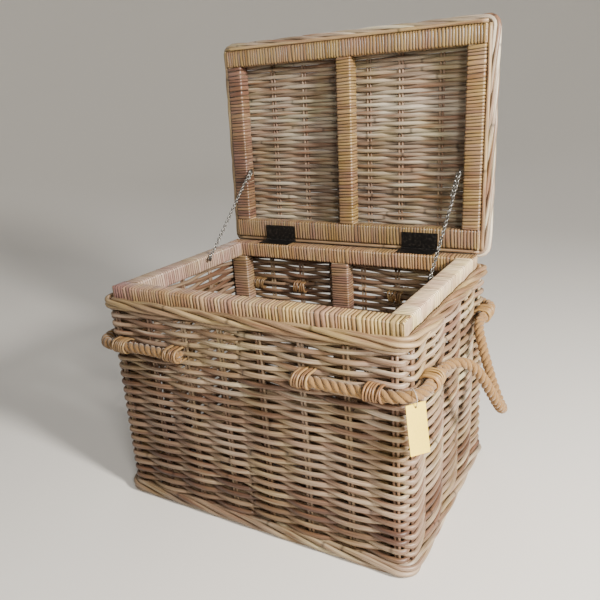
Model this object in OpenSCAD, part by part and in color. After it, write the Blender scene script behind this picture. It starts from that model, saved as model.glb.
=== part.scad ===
// Wicker storage trunk with a hinged lid, lid chains, rope handles and a blank price tag.
// The origin is on the floor at the middle of the base: +Z up, front towards -Y.
// The lid is drawn open, resting on its chains.

/* [Frame] */
// Width over the rim frame
frame_w = 600; // [592:2:608]
// Depth over the rim frame
frame_d = 428; // [424:2:432]
// Height of the rim above the floor
rim_h = 454; // [448:2:458]
// Width of a rim rail, seen from above
rail_w = 36; // [34:1:38]
// Height of a rim rail and thickness of the lid frame
rail_h = 34; // [32:1:36]
// Width of a wrapped post
post_w = 44; // [40:1:46]
// Depth of a wrapped post, front to back
post_d = 32; // [28:1:33]
// Thickness of the rattan peel wound round each bar
peel_t = 1.5; // [1:0.1:2]

/* [Weave] */
// How far the woven wall stands outside the rim frame
weave_out = 18; // [17:0.5:19]
// Thickness of the woven wall
weave_t = 21; // [20:0.5:21]
// Diameter of an upright stake
stake_d = 5.6; // [5:0.1:6]
// Distance between the two stakes of a pair
stake_gap = 7; // [6.6:0.1:8]
// Number of stake pairs in the front wall
front_pairs = 8; // [6:1:8]
// Number of stake pairs in a side wall
side_pairs = 5; // [3:1:5]
// Radius of the wall's outer corners
wall_r = 30; // [28:1:34]

/* [Borders] */
// Height of the bottom border and of the woven base
base_h = 26; // [22:1:30]
// Height of the plaited top border
border_h = 24; // [20:1:26]
// How far the top and bottom borders stand outside the rim frame
border_out = 24; // [23:0.5:26]
// How far the rim frame stands above the top border
rim_show = 19; // [17:1:22]

/* [Lid] */
// Angle of the open lid from closed
lid_open = 92; // [91:0.5:94]
// Depth of the lid frame, front to back
lid_d = 432; // [428:1:434]
// Width of the lid's front rail and middle stile
lid_rail_w = 36; // [34:1:38]
// Width of the lid's back rail, which carries the hinges
lid_back_w = 42; // [40:1:44]
// Width of the lid's side stiles
lid_stile_w = 38; // [36:1:40]
// Thickness of the woven lid panel
panel_t = 17; // [14:1:17]
// How far the lid's border stands outside the lid frame
lid_border_out = 20; // [18:0.5:20]

/* [Hinges] */
// Width of a butt hinge
hinge_w = 80; // [76:1:84]
// Distance of each hinge from the middle of the trunk
hinge_x = 174; // [165:1:190]
// Thickness of a hinge leaf
leaf_t = 2; // [1.6:0.1:2]
// Radius of the hinge knuckle
knuckle_r = 3.6; // [3.4:0.1:3.8]
// Radius of the hinge pin
pin_r = 1.6; // [1.4:0.1:1.8]

/* [Ropes] */
// Diameter of the handle rope
rope_d = 19; // [17:0.5:19]
// Height of the ropes on the walls
rope_z = 345; // [335:1:355]
// Distance of the rope's centre from the wall
rope_off = 13; // [13:0.5:14]

/* [Tag] */
// Width of the paper tag
tag_w = 32; // [28:1:36]
// Length of the paper tag
tag_h = 86; // [70:1:90]

/* [Hidden] */
$fn = 48;

half_w = frame_w / 2;
half_d = frame_d / 2;
wall_x = half_w + weave_out;
wall_y = half_d + weave_out;
inner_x = wall_x - weave_t;
inner_y = wall_y - weave_t;
arc_x = wall_x - wall_r;               // centre of a corner arc
arc_y = wall_y - wall_r;
stake_off = weave_out - weave_t / 2;   // the stakes' line, outside the frame
border_top = rim_h - rim_show;
border_z = border_top - border_h;
rail_z = rim_h - rail_h;
clear = 0.3;                           // gap between neighbouring curved faces
fit = 0.05;                            // radial clearance of a pin or screw

front_pitch = 82;                      // between the front wall's stake pairs
side_pitch = 100.5;                    // between a side wall's stake pairs
stake_hole_r = stake_d / 2 + clear;

post_x = inner_x - 2 - post_w / 2;     // centres of the corner posts
post_y = inner_y - 2 - post_d / 2;
post_z = rail_z - base_h;

pin_y = half_d + knuckle_r + 0.4;      // the lid's hinge axis
pin_z = rim_h + leaf_t + clear;
lid_z = pin_z + clear + leaf_t;        // underside of the closed lid frame
lid_front = half_d - lid_d;            // front edge of the closed lid frame
leaf_front = half_d - 31;              // front edge of the closed leaves
knuckles = 5;
screw_r = 1.5;
screw_l = 16;
screw_rows = [[-28, 190], [0, 201], [28, 190]];

chain_x = 256;                         // plane in which each chain hangs
rim_eye = [40, pin_z - 10];            // y and z of the chain's screw in the rim
lid_eye = [54, pin_z + 10];            // y and z of its screw in the closed lid
link_r = 3.6;                          // radius of a link's centre line
wire_r = 0.8;
end_link_r = 5.5;
end_link_s = 2.6;                      // centre of the end link from the screw
first_link_s = 9.8;                    // centre of the next link from the screw
link_count = 46;                       // plain links between the two end links
lower_links = 20;
upper_links = 23;

rope_r = rope_d / 2;
rope_x = wall_x + rope_off;
rope_y = wall_y + rope_off;
rope_end = 118;                        // where the rope ends on the front
rope_back_end = 104;                   // and on the back
foot_y = 130;                          // where the loop leaves the side wall
lash_out = 2.7;

tag_t = 0.8;
tag_ring_r = 14;
tag_off = 11;                          // the tag's plane, outside the rope's centre
tag_top = rope_z - 5;
hole_drop = 6.5;
string_r = 0.6;

peel = [0.62, 0.50, 0.34];
cane = [0.60, 0.53, 0.44];
dark_cane = [0.52, 0.44, 0.36];
rope_tan = [0.72, 0.56, 0.34];
wood = [0.70, 0.58, 0.42];

// ---------- shared shapes ----------

module round_rect(w, d, r) {
    square([w - 2 * r, d], center = true);
    square([w, d - 2 * r], center = true);
    for (x = [-1, 1], y = [-1, 1])
        translate([x * (w / 2 - r), y * (d / 2 - r)]) circle(r);
}

// A bar along X, from -length/2 to length/2, centred on its axis
module bar_x(length, w, h, r) {
    translate([-length / 2, 0, 0]) rotate([90, 0, 90])
        linear_extrude(length) round_rect(w, h, r);
}

module bar_y(length, w, h, r) {
    rotate([0, 0, 90]) bar_x(length, w, h, r);
}

module bar_z(length, w, h, r) {
    linear_extrude(length) round_rect(w, h, r);
}

// One quarter of the plan, cut along the diagonals through the corner arcs.
// turn is 0 for the front, 180 for the back, 90 for the right and 270 for the left.
module side_sector(turn) {
    far = 200;
    if (turn == 0 || turn == 180)
        rotate(turn) polygon([[-arc_x, -arc_y], [-arc_x - far, -arc_y - far],
                              [arc_x + far, -arc_y - far], [arc_x, -arc_y]]);
    else
        rotate(turn - 90) polygon([[arc_x, -arc_y], [arc_x + far, -arc_y - far],
                                   [arc_x + far, arc_y + far], [arc_x, arc_y]]);
}

module wall_ring() {
    difference() {
        round_rect(2 * wall_x, 2 * wall_y, wall_r);
        round_rect(2 * inner_x, 2 * inner_y, wall_r - weave_t);
    }
}

// Plan positions of the paired stakes in the front or a side wall
function pair_places(count, pitch) = [for (i = [0 : count - 1]) (i - (count - 1) / 2) * pitch];

module front_stake_places() {
    for (x = pair_places(front_pairs, front_pitch), s = [-1, 1])
        translate([x + s * stake_gap / 2, -half_d - stake_off]) children();
}

module side_stake_places() {
    for (y = pair_places(side_pairs, side_pitch), s = [-1, 1])
        translate([half_w + stake_off, y + s * stake_gap / 2]) children();
}

module woven_wall(turn) {
    color(cane) translate([0, 0, base_h]) linear_extrude(border_z - base_h) difference() {
        intersection() {
            wall_ring();
            side_sector(turn);
        }
        if (turn == 0 || turn == 180) rotate(turn) front_stake_places() circle(stake_hole_r);
        else rotate(turn - 90) side_stake_places() circle(stake_hole_r);
    }
}

// A wrapped bar is a core inside a thin sleeve of peel
module wrap_of(axis, length, w, h) {
    difference() {
        if (axis == "x") bar_x(length, w, h, 5);
        else if (axis == "y") bar_y(length, w, h, 5);
        else bar_z(length, w, h, 5);
        core_of(axis, length, w, h, 0.1, 1);
    }
}

module core_of(axis, length, w, h, grow = 0, past = 0) {
    cw = w - 2 * peel_t - 0.2 + 2 * grow;
    ch = h - 2 * peel_t - 0.2 + 2 * grow;
    if (axis == "x") bar_x(length + 2 * past, cw, ch, 3.5);
    else if (axis == "y") bar_y(length + 2 * past, cw, ch, 3.5);
    else translate([0, 0, -past]) bar_z(length + 2 * past, cw, ch, 3.5);
}

// The closed lid's shapes are turned to the open position
module open_lid() {
    translate([0, pin_y, pin_z]) rotate([-lid_open, 0, 0]) translate([0, -pin_y, -pin_z])
        children();
}

// ---------- the body of the trunk ----------

module base_panel() {
    color(dark_cane) linear_extrude(base_h)
        round_rect(2 * (inner_x - clear), 2 * (inner_y - clear), wall_r - weave_t - clear);
}

module bottom_border() {
    color(dark_cane) for (turn = [0, 90, 180, 270]) linear_extrude(base_h) intersection() {
        difference() {
            round_rect(2 * (half_w + border_out), 2 * (half_d + border_out), wall_r + 6);
            round_rect(2 * inner_x, 2 * inner_y, wall_r - weave_t);
        }
        side_sector(turn);
    }
}

module front_weave() { woven_wall(0); }
module back_weave() { woven_wall(180); }
module right_weave() { woven_wall(90); }
module left_weave() { woven_wall(270); }

module wall_stakes() {
    color(dark_cane) translate([0, 0, base_h]) for (turn = [0, 180]) {
        rotate(turn) front_stake_places() cylinder(h = border_z - base_h, d = stake_d);
        rotate(turn) side_stake_places() cylinder(h = border_z - base_h, d = stake_d);
    }
}

module top_border() {
    color(cane) for (turn = [0, 90, 180, 270])
        translate([0, 0, border_z]) linear_extrude(border_h) intersection() {
            difference() {
                round_rect(2 * (half_w + border_out), 2 * (half_d + border_out), wall_r + 6);
                square([frame_w + 1, frame_d + 1], center = true);
            }
            side_sector(turn);
        }
}

// Bars along the foot of the walls, between the posts
module base_frame() {
    bar_h = 28;
    bar_w = 28;
    long = post_x - post_w - 1;
    short = 2 * post_y - post_d - 1;
    z = base_h + bar_h / 2;
    color(wood) for (s = [-1, 1]) {
        for (h = [-1, 1])
            translate([h * post_x / 2, s * (inner_y - 1 - bar_w / 2), z]) bar_x(long, bar_w, bar_h, 4);
        translate([s * (inner_x - 1 - bar_w / 2), 0, z]) bar_y(short, bar_w, bar_h, 4);
    }
}

// ix and iy are -1, 0 or 1: left, middle or right, and front or back
module at_post(ix, iy) {
    translate([ix * post_x, iy * post_y, base_h]) children();
}

module post_wrap(ix, iy) {
    color(peel) at_post(ix, iy) wrap_of("z", post_z, post_w, post_d);
}

module post_wrap_front_left() { post_wrap(-1, -1); }
module post_wrap_front_middle() { post_wrap(0, -1); }
module post_wrap_front_right() { post_wrap(1, -1); }
module post_wrap_back_left() { post_wrap(-1, 1); }
module post_wrap_back_middle() { post_wrap(0, 1); }
module post_wrap_back_right() { post_wrap(1, 1); }

module post_cores() {
    color(wood) for (ix = [-1, 0, 1], iy = [-1, 1])
        at_post(ix, iy) core_of("z", post_z, post_w, post_d);
}

// ---------- the rim frame ----------

side_rail_l = frame_d - 2 * rail_w;

module at_long_rail(s) {
    translate([0, s * (half_d - rail_w / 2), rim_h - rail_h / 2]) children();
}

module at_side_rail(s) {
    translate([s * (half_w - rail_w / 2), 0, rim_h - rail_h / 2]) children();
}

// Holes for the leaves' screws, down from the top of the closed seat at z
module leaf_screw_places(z) {
    for (side = [-1, 1], p = screw_rows)
        translate([side * hinge_x + p[0], p[1], z]) children();
}

module rim_screw_holes() {
    leaf_screw_places(rim_h - screw_l) cylinder(h = screw_l + 1, r = screw_r + fit);
    for (side = [-1, 1])
        translate([side * (half_w - rail_w - 1), rim_eye[0], rim_eye[1]])
            rotate([0, side * 90, 0]) cylinder(h = screw_l + 1, r = screw_r + fit);
}

module rim_wrap_front() { color(peel) at_long_rail(-1) wrap_of("x", frame_w, rail_w, rail_h); }

module rim_wrap_back() {
    color(peel) difference() {
        at_long_rail(1) wrap_of("x", frame_w, rail_w, rail_h);
        rim_screw_holes();
    }
}

module rim_wrap_side(s) {
    color(peel) difference() {
        at_side_rail(s) wrap_of("y", side_rail_l, rail_w, rail_h);
        rim_screw_holes();
    }
}

module rim_wrap_left() { rim_wrap_side(-1); }
module rim_wrap_right() { rim_wrap_side(1); }

module rim_cores() {
    color(wood) difference() {
        union() for (s = [-1, 1]) {
            at_long_rail(s) core_of("x", frame_w, rail_w, rail_h);
            at_side_rail(s) core_of("y", side_rail_l, rail_w, rail_h);
        }
        rim_screw_holes();
    }
}

// ---------- hinges ----------

// The knuckles with an even or odd number, and the plate that joins them
module leaf(own, z) {
    pitch = hinge_w / knuckles;
    difference() {
        union() {
            translate([-hinge_w / 2, leaf_front, z])
                cube([hinge_w, pin_y - knuckle_r - 0.6 - leaf_front, leaf_t]);
            for (k = [0 : knuckles - 1]) if (k % 2 == own)
                translate([-hinge_w / 2 + k * pitch + 0.2, 0, 0]) {
                    translate([0, pin_y, pin_z]) rotate([0, 90, 0])
                        cylinder(h = pitch - 0.4, r = knuckle_r);
                    translate([0, leaf_front + 1, z])
                        cube([pitch - 0.4, pin_y - leaf_front - 1, leaf_t]);
                }
        }
        translate([-hinge_w / 2 - 1, pin_y, pin_z]) rotate([0, 90, 0])
            cylinder(h = hinge_w + 2, r = pin_r + fit);
    }
}

module screw_seat(grow) {
    cylinder(h = leaf_t, r1 = screw_r + grow, r2 = screw_r + 2 + grow);
}

module rim_hinge_leaves() {
    color("dimgray") difference() {
        for (side = [-1, 1]) translate([side * hinge_x, 0, 0]) leaf(0, rim_h);
        leaf_screw_places(rim_h) screw_seat(fit);
    }
}

module lid_hinge_leaves() {
    color("dimgray") open_lid() difference() {
        for (side = [-1, 1]) translate([side * hinge_x, 0, 0]) leaf(1, lid_z - leaf_t);
        leaf_screw_places(lid_z) mirror([0, 0, 1]) screw_seat(fit);
    }
}

module hinge_pins() {
    color("gray") for (side = [-1, 1])
        translate([side * hinge_x - hinge_w / 2, pin_y, pin_z]) rotate([0, 90, 0])
            cylinder(h = hinge_w, r = pin_r);
}

module leaf_screw() {
    screw_seat(0);
    translate([0, 0, -screw_l + 1]) cylinder(h = screw_l - 1, r = screw_r);
}

module rim_hinge_screws() { color("gray") leaf_screw_places(rim_h) leaf_screw(); }

module lid_hinge_screws() {
    color("gray") open_lid() leaf_screw_places(lid_z) mirror([0, 0, 1]) leaf_screw();
}

// ---------- the lid ----------

lid_mid_y = (half_d + lid_front) / 2;
stile_l = lid_d - lid_rail_w - lid_back_w;
stile_y = (half_d - lid_back_w + lid_front + lid_rail_w) / 2;
lid_bar_z = lid_z + rail_h / 2;

module at_lid_front() { translate([0, lid_front + lid_rail_w / 2, lid_bar_z]) children(); }
module at_lid_back() { translate([0, half_d - lid_back_w / 2, lid_bar_z]) children(); }
module at_lid_side(s) {
    translate([s * (half_w - lid_stile_w / 2), stile_y, lid_bar_z]) children();
}
module at_lid_middle() { translate([0, stile_y, lid_bar_z]) children(); }

module lid_screw_holes() {
    leaf_screw_places(lid_z - 1) cylinder(h = screw_l + 1, r = screw_r + fit);
    for (side = [-1, 1])
        translate([side * (half_w - lid_stile_w - 1), lid_eye[0], lid_eye[1]])
            rotate([0, side * 90, 0]) cylinder(h = screw_l + 1, r = screw_r + fit);
}

module lid_wrap_front() {
    color(peel) open_lid() at_lid_front() wrap_of("x", frame_w, lid_rail_w, rail_h);
}

module lid_wrap_back() {
    color(peel) open_lid() difference() {
        at_lid_back() wrap_of("x", frame_w, lid_back_w, rail_h);
        lid_screw_holes();
    }
}

module lid_wrap_side(s) {
    color(peel) open_lid() difference() {
        at_lid_side(s) wrap_of("y", stile_l, lid_stile_w, rail_h);
        lid_screw_holes();
    }
}

module lid_wrap_left() { lid_wrap_side(-1); }
module lid_wrap_right() { lid_wrap_side(1); }
module lid_wrap_middle() {
    color(peel) open_lid() at_lid_middle() wrap_of("y", stile_l, lid_rail_w, rail_h);
}

module lid_cores() {
    color(wood) open_lid() difference() {
        union() {
            at_lid_front() core_of("x", frame_w, lid_rail_w, rail_h);
            at_lid_back() core_of("x", frame_w, lid_back_w, rail_h);
            for (s = [-1, 1]) at_lid_side(s) core_of("y", stile_l, lid_stile_w, rail_h);
            at_lid_middle() core_of("y", stile_l, lid_rail_w, rail_h);
        }
        lid_screw_holes();
    }
}

panel_z = lid_z + rail_h;
lid_pairs = [-200, -118, -34, 42, 115, 203];   // the lid's stake pairs, unevenly spaced

module lid_stake_places() {
    for (x = lid_pairs, s = [-1, 1])
        translate([x + s * stake_gap / 2, half_d, panel_z + panel_t / 2]) rotate([90, 0, 0]) children();
}

module lid_panel() {
    color(cane) open_lid() difference() {
        translate([0, lid_mid_y, panel_z]) linear_extrude(panel_t)
            round_rect(frame_w, lid_d, 10);
        translate([0, 1, 0]) lid_stake_places() cylinder(h = lid_d + 2, r = stake_hole_r);
    }
}

module lid_stakes() {
    color(dark_cane) open_lid() lid_stake_places() cylinder(h = lid_d, d = stake_d);
}

// Four straight bundles of plaited rods round the lid's edge
module lid_border() {
    long = frame_w + 2 * lid_border_out;
    gap = 0.5;
    w = lid_border_out - gap;
    z = lid_z + 12;
    h = 30;
    color(cane) open_lid() {
        for (y = [lid_front - lid_border_out, half_d + gap])
            translate([-long / 2, y, z]) cube([long, w, h]);
        for (x = [-half_w - lid_border_out, half_w + gap])
            translate([x, lid_front - gap, z]) cube([w, lid_d + 2 * gap, h]);
    }
}

// One straight rod along each edge of the lid frame
module lid_edge_rods() {
    rod_r = 4;
    off = rod_r + 0.5;
    z = lid_z + 7.5;
    color(cane) open_lid() {
        for (y = [lid_front - off, half_d + off])
            translate([-half_w, y, z]) rotate([0, 90, 0]) cylinder(h = frame_w, r = rod_r);
        for (s = [-1, 1])
            translate([s * (half_w + off), half_d, z]) rotate([90, 0, 0])
                cylinder(h = lid_d, r = rod_r);
    }
}

// ---------- the lid's chains ----------

// Where the lid's screw is once the lid is open
lid_eye_y = pin_y + (lid_eye[0] - pin_y) * cos(lid_open) + (lid_eye[1] - pin_z) * sin(lid_open);
lid_eye_z = pin_z - (lid_eye[0] - pin_y) * sin(lid_open) + (lid_eye[1] - pin_z) * cos(lid_open);
chain_l = norm([lid_eye_y - rim_eye[0], lid_eye_z - rim_eye[1]]);
chain_a = atan2(lid_eye_z - rim_eye[1], lid_eye_y - rim_eye[0]);
link_pitch = (chain_l - 2 * first_link_s) / (link_count - 1);

module link(radius, flat) {
    rotate([0, flat ? 0 : 90, 0]) rotate_extrude($fn = 32)
        translate([radius, 0]) circle(wire_r, $fn = 16);
}

// A run of links along +Y from its screw; the end link turns round the screw
module chain_run(count) {
    translate([0, end_link_s, 0]) link(end_link_r, false);
    for (k = [0 : count - 1])
        translate([0, first_link_s + k * link_pitch, 0]) link(link_r, k % 2 == 0);
}

module chain_lower(side) {
    color("silver") translate([side * chain_x, rim_eye[0], rim_eye[1]])
        rotate([chain_a, 0, 0]) chain_run(lower_links);
}

module chain_upper(side) {
    color("silver") translate([side * chain_x, lid_eye_y, lid_eye_z])
        rotate([chain_a + 180, 0, 0]) chain_run(upper_links);
}

module chain_left_lower() { chain_lower(-1); }
module chain_left_upper() { chain_upper(-1); }
module chain_right_lower() { chain_lower(1); }
module chain_right_upper() { chain_upper(1); }

// A round-headed screw along X that holds a chain's end link; reach is the wood's face
module chain_screw(reach) {
    head = 1;
    translate([0, 0, chain_x - 3]) {
        cylinder(h = head, r = 4.4);
        cylinder(h = reach - chain_x + 3 + screw_l - 2, r = screw_r - 0.2);
    }
}

module rim_chain_screws() {
    color("gray") for (side = [-1, 1])
        translate([0, rim_eye[0], rim_eye[1]]) rotate([0, side * 90, 0])
            chain_screw(half_w - rail_w);
}

module lid_chain_screws() {
    color("gray") open_lid() for (side = [-1, 1])
        translate([0, lid_eye[0], lid_eye[1]]) rotate([0, side * 90, 0])
            chain_screw(half_w - lid_stile_w);
}

// ---------- ropes ----------

rope_arc_r = wall_r + rope_off;

// The lashed rope round one corner: sx and sy choose the corner
module lashed_rope(sx, sy) {
    end = sy < 0 ? rope_end : rope_back_end;
    color(rope_tan) translate([0, 0, rope_z]) {
        translate([sx * end, sy * rope_y, 0]) rotate([0, sx * 90, 0])
            cylinder(h = arc_x - end, r = rope_r);
        translate([sx * arc_x, sy * arc_y, 0])
            rotate(sx > 0 ? (sy > 0 ? 0 : 270) : (sy > 0 ? 90 : 180))
                rotate_extrude(angle = 90) translate([rope_arc_r, 0]) circle(rope_r);
        translate([sx * rope_x, sy * foot_y, 0]) rotate([-sy * 90, 0, 0])
            cylinder(h = arc_y - foot_y, r = rope_r);
    }
}

module rope_left_front() { lashed_rope(-1, -1); }
module rope_left_back() { lashed_rope(-1, 1); }
module rope_right_front() { lashed_rope(1, -1); }
module rope_right_back() { lashed_rope(1, 1); }

module lashing(length) {
    rotate_extrude() translate([rope_r + 0.2, -length / 2]) square([lash_out - 0.2, length]);
}

module rope_lashings() {
    color(peel) for (sx = [-1, 1], sy = [-1, 1]) {
        for (x = sy < 0 ? [136, 262] : [122, 237])
            translate([sx * x, sy * rope_y, rope_z]) rotate([0, 90, 0]) lashing(32);
        translate([sx * rope_x, sy * 166, rope_z]) rotate([90, 0, 0]) lashing(40);
    }
}

// The free loop of the right handle, from its front foot to its back foot
handle_route = [
    [331, -129.7, 345], [331, -123, 345], [332.5, -113.5, 345.6], [336.7, -103.5, 346.6], [343.5, -94.5, 347.3],
    [352, -87, 346], [360.5, -79.5, 341.5], [369, -72.5, 333.5], [376.5, -66, 322], [383, -59.5, 308],
    [389, -52.5, 292.5], [394.5, -44.5, 276.5], [399, -35, 261], [402, -24, 247], [403.5, -11, 235.5],
    [403, 3, 227.5], [400, 16, 223.5], [395, 28, 223.5], [388.5, 38.5, 228], [381, 48, 237.5],
    [373, 57, 250], [365.5, 65, 265], [358, 72, 281], [351, 78.5, 297], [345, 84.5, 312],
    [339.8, 90.5, 324.5], [335.8, 97.5, 334], [333, 106, 340.2], [331.5, 115, 343.8], [331, 123, 344.9],
    [331, 129.7, 345]];
rope_sides = 12;

function unit(v) = v / norm(v);
function tangent(path, i) = unit(path[min(i + 1, len(path) - 1)] - path[max(i - 1, 0)]);
function ring(path, i, r) =
    let (t = (i == 0 || i == len(path) - 1) ? [0, 1, 0] : tangent(path, i),
         u = unit(cross([1, 0, 0.2], t)), v = cross(t, u))
    [for (k = [0 : rope_sides - 1]) path[i] + r * (cos(360 * k / rope_sides) * u
                                                   + sin(360 * k / rope_sides) * v)];

module swept_rope(path, r) {
    n = len(path);
    points = [for (i = [0 : n - 1]) each ring(path, i, r)];
    sides = [for (i = [0 : n - 2], k = [0 : rope_sides - 1])
        let (a = i * rope_sides, b = a + rope_sides, j = (k + 1) % rope_sides)
        [a + k, a + j, b + j, b + k]];
    first = [for (k = [0 : rope_sides - 1]) rope_sides - 1 - k];
    last = [for (k = [0 : rope_sides - 1]) (n - 1) * rope_sides + k];
    polyhedron(points, concat([first], sides, [last]));
}

module handle_right_rope() { color(rope_tan) swept_rope(handle_route, rope_r); }
module handle_left_rope() { mirror([1, 0, 0]) handle_right_rope(); }

// ---------- the paper tag ----------

// Local frame at the near corner: X along the rope, Y away from the trunk
module at_tag() {
    translate([arc_x, -arc_y, 0]) rotate([0, 0, 225]) translate([0, rope_arc_r, 0]) children();
}

module price_tag() {
    color([0.93, 0.85, 0.55]) at_tag() difference() {
        translate([-tag_w / 2, tag_off, tag_top - tag_h]) cube([tag_w, tag_t, tag_h]);
        translate([0, tag_off - 1, tag_top - hole_drop]) rotate([-90, 0, 0])
            cylinder(h = tag_t + 2, r = 2);
    }
}

module tag_string() {
    color("ivory") at_tag() translate([0, 3, rope_z]) rotate([0, 90, 0])
        rotate_extrude($fn = 48) translate([tag_ring_r, 0]) circle(string_r, $fn = 16);
}

base_panel();
bottom_border();
front_weave();
back_weave();
left_weave();
right_weave();
wall_stakes();
top_border();
base_frame();
post_cores();
rim_cores();
post_wrap_front_left();
post_wrap_front_middle();
post_wrap_front_right();
post_wrap_back_left();
post_wrap_back_middle();
post_wrap_back_right();
rim_wrap_front();
rim_wrap_back();
rim_wrap_left();
rim_wrap_right();
rim_hinge_leaves();
hinge_pins();
rim_hinge_screws();
rope_left_front();
rope_left_back();
rope_right_front();
rope_right_back();
rope_lashings();
rim_chain_screws();
lid_panel();
lid_stakes();
lid_border();
lid_edge_rods();
lid_cores();
lid_wrap_front();
lid_wrap_back();
lid_wrap_left();
lid_wrap_middle();
lid_wrap_right();
lid_hinge_leaves();
lid_hinge_screws();
lid_chain_screws();
chain_left_lower();
chain_left_upper();
chain_right_lower();
chain_right_upper();
handle_left_rope();
handle_right_rope();
price_tag();
tag_string();
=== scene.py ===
import math

import bpy
import numpy as np
from mathutils import Matrix, Vector


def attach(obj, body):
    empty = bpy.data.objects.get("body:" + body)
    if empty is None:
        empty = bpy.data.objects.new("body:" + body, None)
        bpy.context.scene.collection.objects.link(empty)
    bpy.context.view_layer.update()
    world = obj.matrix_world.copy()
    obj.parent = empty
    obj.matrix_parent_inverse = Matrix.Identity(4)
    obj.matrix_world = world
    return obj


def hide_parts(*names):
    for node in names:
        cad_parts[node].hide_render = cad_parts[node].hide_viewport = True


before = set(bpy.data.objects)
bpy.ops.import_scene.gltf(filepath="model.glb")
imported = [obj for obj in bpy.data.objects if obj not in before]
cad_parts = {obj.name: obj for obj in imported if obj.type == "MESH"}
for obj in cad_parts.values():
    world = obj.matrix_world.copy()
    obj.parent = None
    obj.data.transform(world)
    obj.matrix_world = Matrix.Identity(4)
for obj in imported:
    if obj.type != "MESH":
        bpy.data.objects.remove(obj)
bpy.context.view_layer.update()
MM = 0.001
rng = np.random.default_rng(11)

# The trunk's main sizes in millimetres, as in the CAD model
HALF_W, HALF_D, RIM_H, RAIL_W, RAIL_H = 300, 214, 454, 36, 34
BASE_H, BORDER_Z, BORDER_H = 26, 411, 24
STAKE_OFF, WALL_R, WALL_ROWS = 7.5, 19.5, 43
FRONT_STEP, SIDE_STEP = 82, 100.5   # from one pair of stakes to the next
STAKE_GAP = 3.5   # half the distance between the two stakes of a pair
POST_X, POST_Y, POST_W, POST_D = 273, 193, 44, 32
PIN_Y, PIN_Z, LID_Z, LID_FRONT, LID_OPEN = 218, 456.3, 458.6, -218, 92
LID_RAIL_W, LID_BACK_W, LID_STILE_W = 36, 42, 38
ROPE_X, ROPE_Y, ROPE_Z, ROPE_R, ROPE_BEND = 331, 245, 345, 9.5, 43
CHAIN_X, RIM_EYE, LID_EYE = 256, (40, 446.3), (54, 466.3)


def add(name, data):
    """A new object in the scene."""
    obj = bpy.data.objects.new(name, data)
    bpy.context.scene.collection.objects.link(obj)
    return obj


# ---------- camera ----------

def make_camera():
    """The camera, from the direction that it looks in and its roll."""
    azimuth, pitch, roll = math.radians(30.5), math.radians(18), math.radians(-3.58)
    ahead = Vector((-math.sin(azimuth) * math.cos(pitch), math.cos(azimuth) * math.cos(pitch),
                    -math.sin(pitch)))
    right = Vector((math.cos(azimuth), math.sin(azimuth), 0))
    up = right.cross(ahead)
    x = right * math.cos(roll) + up * math.sin(roll)
    y = up * math.cos(roll) - right * math.sin(roll)
    data = bpy.data.cameras.new("Camera")
    data.lens, data.sensor_width, data.clip_end = 36.9, 36, 50
    cam = add("Camera", data)
    place = Matrix((x, y, -ahead)).transposed().to_4x4()
    place.translation = Vector((0.601, -1.024, 0.776))
    cam.matrix_world = place
    bpy.context.scene.camera = cam


# ---------- mesh building ----------

def unit(a):
    return a / np.maximum(np.linalg.norm(a, axis=-1, keepdims=True), 1e-9)


def distances(path):
    """How far along a path each of its points is."""
    return np.r_[0, np.cumsum(np.linalg.norm(np.diff(path, axis=0), axis=1))]


def carry(first, t):
    """Directions square to the tangents t, carried along them from the first without a twist."""
    u = np.empty_like(t)
    u[0] = unit(first)
    for i in range(1, len(t)):
        u[i] = unit(u[i - 1] - t[i] * (u[i - 1] @ t[i]))
    return u


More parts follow.
